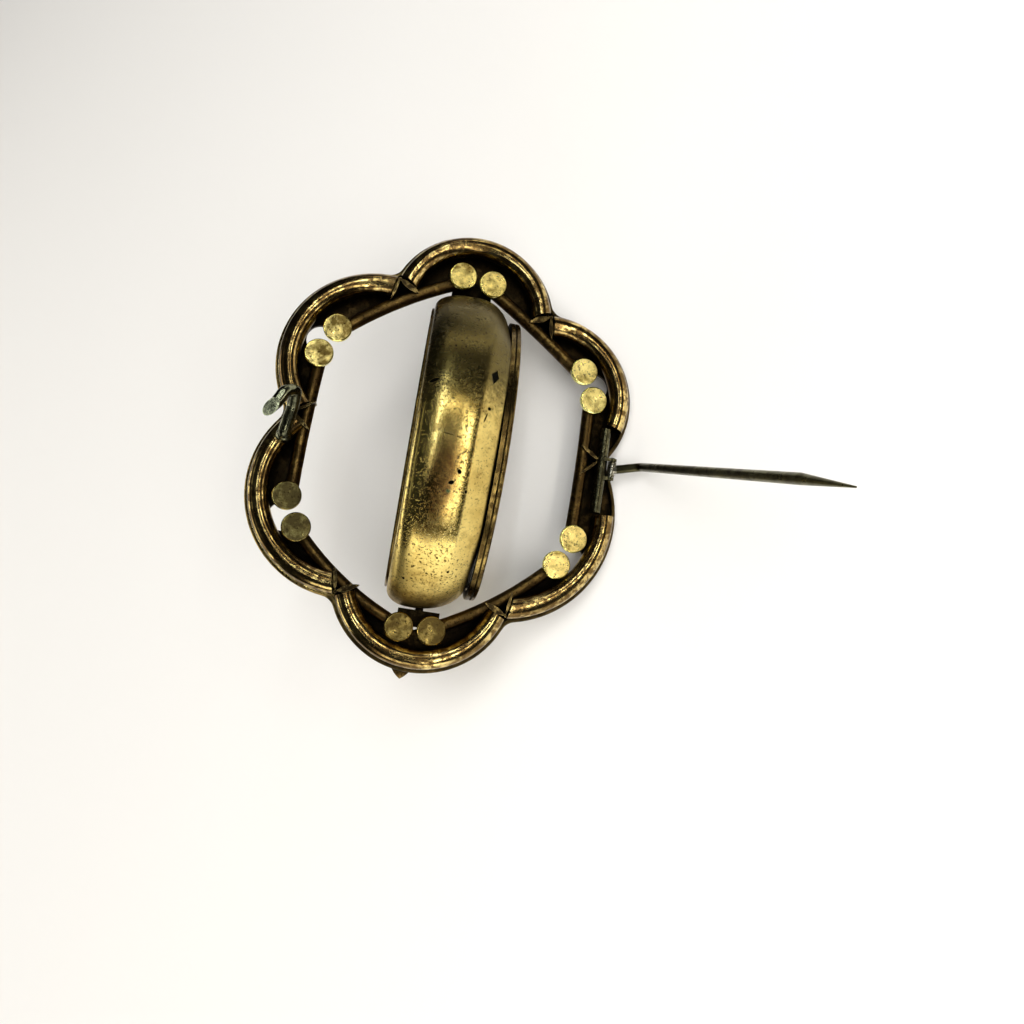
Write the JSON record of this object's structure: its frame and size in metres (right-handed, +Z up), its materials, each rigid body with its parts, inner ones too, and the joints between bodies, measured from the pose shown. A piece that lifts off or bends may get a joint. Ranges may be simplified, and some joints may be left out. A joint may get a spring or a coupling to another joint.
{
  "type": "mourning brooch",
  "caption": "Swivel mourning brooch: a six-lobed tubular gilt frame with paired studs, a thick oval glazed locket turning in it, a hinged pin and a hook catch.",
  "frame": {"origin": "centre of the bounding box on the surface that it rests on", "axes": "+Z up from that surface, +Y along the long axis of the frame, which is also the swivel's axis, +X across the frame towards its hinge side and down the slope of the propped frame"},
  "size_m": [0.0702, 0.0582, 0.0344],
  "materials": {
    "sheet": "worn gilt, tarnished",
    "tubes": "worn gilt, tarnished",
    "ring": "worn gilt, tarnished",
    "studs": "worn gilt, tarnished",
    "corner_leaves": "worn gilt, tarnished",
    "pivots": "worn gilt, tarnished",
    "front_leaves": "worn gilt, tarnished",
    "case": "worn gilt, tarnished",
    "bezel": "worn gilt, tarnished",
    "cover": "worn gilt, tarnished",
    "hinge": "worn gilt, tarnished",
    "catch": "worn gilt, tarnished",
    "pin": "dull, tarnished",
    "glass": "clear",
    "panel": "plain dark cloth"
  },
  "bodies": {
    "frame": {"front_frame": "sheet", "lobe_tube_top": "tubes", "lobe_tube_upper_right": "tubes", "lobe_tube_lower_right": "tubes", "lobe_tube_bottom": "tubes", "lobe_tube_lower_left": "tubes", "lobe_tube_upper_left": "tubes", "ring_arc_top_upper_right": "ring", "ring_arc_upper_right_lower_right": "ring", "ring_arc_lower_right_bottom": "ring", "ring_arc_bottom_lower_left": "ring", "ring_arc_lower_left_upper_left": "ring", "ring_arc_upper_left_top": "ring", "stud_top_1": "studs", "stud_top_2": "studs", "stud_upper_right_1": "studs", "stud_upper_right_2": "studs", "stud_lower_right_1": "studs", "stud_lower_right_2": "studs", "stud_bottom_1": "studs", "stud_bottom_2": "studs", "stud_lower_left_1": "studs", "stud_lower_left_2": "studs", "stud_upper_left_1": "studs", "stud_upper_left_2": "studs", "corner_leaf_top_upper_right": "corner_leaves", "corner_leaf_upper_right_lower_right": "corner_leaves", "corner_leaf_lower_right_bottom": "corner_leaves", "corner_leaf_bottom_lower_left": "corner_leaves", "corner_leaf_lower_left_upper_left": "corner_leaves", "corner_leaf_upper_left_top": "corner_leaves", "hinge_rod": "hinge", "hinge_rivet": "hinge", "catch": "catch", "pivot_top": "pivots", "pivot_bottom": "pivots", "front_leaf_top": "front_leaves", "front_leaf_bottom": "front_leaves"},
    "locket": {"locket_case": "case", "front_bezel": "bezel", "glass": "glass", "panel": "panel", "back_cover": "cover"},
    "pin": {"pin_stem": "pin"}
  },
  "joints": [
    {"name": "locket_swivel", "type": "hinge", "parent": "frame", "child": "locket", "pos_m": [-0.01671, 0.00013, 0.01428], "axis": [0, 1, 0], "continuous": true},
    {"name": "pin_hinge", "type": "hinge", "parent": "frame", "child": "pin", "pos_m": [0.00163, 0.00113, 0.00296], "axis": [0.1077, 0.9848, 0.1362], "range_deg": [-58, 18]}
  ]
}
